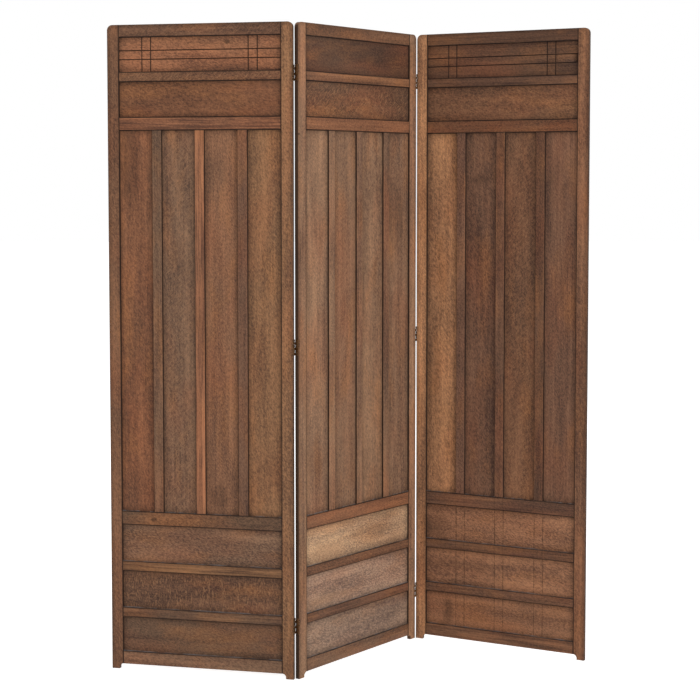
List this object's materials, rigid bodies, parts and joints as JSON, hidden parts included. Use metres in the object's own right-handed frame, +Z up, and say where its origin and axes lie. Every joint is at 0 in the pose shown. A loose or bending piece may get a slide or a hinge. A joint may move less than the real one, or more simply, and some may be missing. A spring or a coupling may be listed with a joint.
{
  "type": "folding screen",
  "caption": "Three-leaf folding wooden screen: board-and-frame leaves in a zigzag on small feet, joined edge to edge by double-action hinges.",
  "frame": {"origin": "on the floor, under the middle of the box round the screen as it stands in its zigzag", "axes": "+Z up along the stiles; +Y from the front to the back, the thin way through the zigzag; +X to the right as seen from the front"},
  "size_m": [1.2706, 0.4054, 1.7],
  "materials": {
    "oak_frame": "fumed oak, thin satin wax, worn pale along the edges",
    "oak_panel": "fumed quarter-sawn oak with ray fleck, satin wax",
    "oak_board": "fumed oak boards, each of its own tone, satin wax",
    "hinge_brass": "old brass gone dark brown, dull"
  },
  "bodies": {
    "left_leaf": {"left_leaf_left_stile": "oak_frame", "left_leaf_right_stile": "oak_frame", "left_leaf_top_rail": "oak_frame", "left_leaf_frieze_rail": "oak_frame", "left_leaf_base_rail_upper": "oak_frame", "left_leaf_base_rail_lower": "oak_frame", "left_leaf_bottom_rail": "oak_frame", "left_leaf_field_frame": "oak_frame", "left_leaf_top_panel": "oak_panel", "left_leaf_frieze_panel": "oak_panel", "left_leaf_base_panel_1": "oak_panel", "left_leaf_base_panel_2": "oak_panel", "left_leaf_base_panel_3": "oak_panel", "left_leaf_board_1": "oak_board", "left_leaf_board_2": "oak_board", "left_leaf_board_3": "oak_board", "left_leaf_board_4": "oak_board", "left_line_hinge_top_outer": "hinge_brass", "left_line_hinge_mid_outer": "hinge_brass", "left_line_hinge_foot_outer": "hinge_brass"},
    "middle_leaf": {"middle_leaf_left_stile": "oak_frame", "middle_leaf_right_stile": "oak_frame", "middle_leaf_top_rail": "oak_frame", "middle_leaf_frieze_rail": "oak_frame", "middle_leaf_base_rail_upper": "oak_frame", "middle_leaf_base_rail_lower": "oak_frame", "middle_leaf_bottom_rail": "oak_frame", "middle_leaf_field_frame": "oak_frame", "middle_leaf_top_panel": "oak_panel", "middle_leaf_frieze_panel": "oak_panel", "middle_leaf_base_panel_1": "oak_panel", "middle_leaf_base_panel_2": "oak_panel", "middle_leaf_base_panel_3": "oak_panel", "middle_leaf_boards": "oak_board", "left_line_hinge_top_inner": "hinge_brass", "left_line_hinge_mid_inner": "hinge_brass", "left_line_hinge_foot_inner": "hinge_brass", "right_line_hinge_top_inner": "hinge_brass", "right_line_hinge_mid_inner": "hinge_brass", "right_line_hinge_foot_inner": "hinge_brass"},
    "right_leaf": {"right_leaf_left_stile": "oak_frame", "right_leaf_right_stile": "oak_frame", "right_leaf_top_rail": "oak_frame", "right_leaf_frieze_rail": "oak_frame", "right_leaf_base_rail_upper": "oak_frame", "right_leaf_base_rail_lower": "oak_frame", "right_leaf_bottom_rail": "oak_frame", "right_leaf_field_frame": "oak_frame", "right_leaf_top_panel": "oak_panel", "right_leaf_frieze_panel": "oak_panel", "right_leaf_base_panel_1": "oak_panel", "right_leaf_base_panel_2": "oak_panel", "right_leaf_base_panel_3": "oak_panel", "right_leaf_board_1": "oak_board", "right_leaf_board_2": "oak_board", "right_leaf_board_3": "oak_board", "right_leaf_board_4": "oak_board", "right_line_hinge_top_outer": "hinge_brass", "right_line_hinge_mid_outer": "hinge_brass", "right_line_hinge_foot_outer": "hinge_brass"}
  },
  "joints": [
    {"name": "left_fold", "type": "hinge", "parent": "middle_leaf", "child": "left_leaf", "pos_m": [-0.1452, -0.18721, 0], "axis": [0, 0, 1], "range_deg": [-117.4, 62.6]},
    {"name": "right_fold", "type": "hinge", "parent": "middle_leaf", "child": "right_leaf", "pos_m": [0.18334, 0.18839, 0], "axis": [0, 0, 1], "range_deg": [-103, 77]}
  ]
}
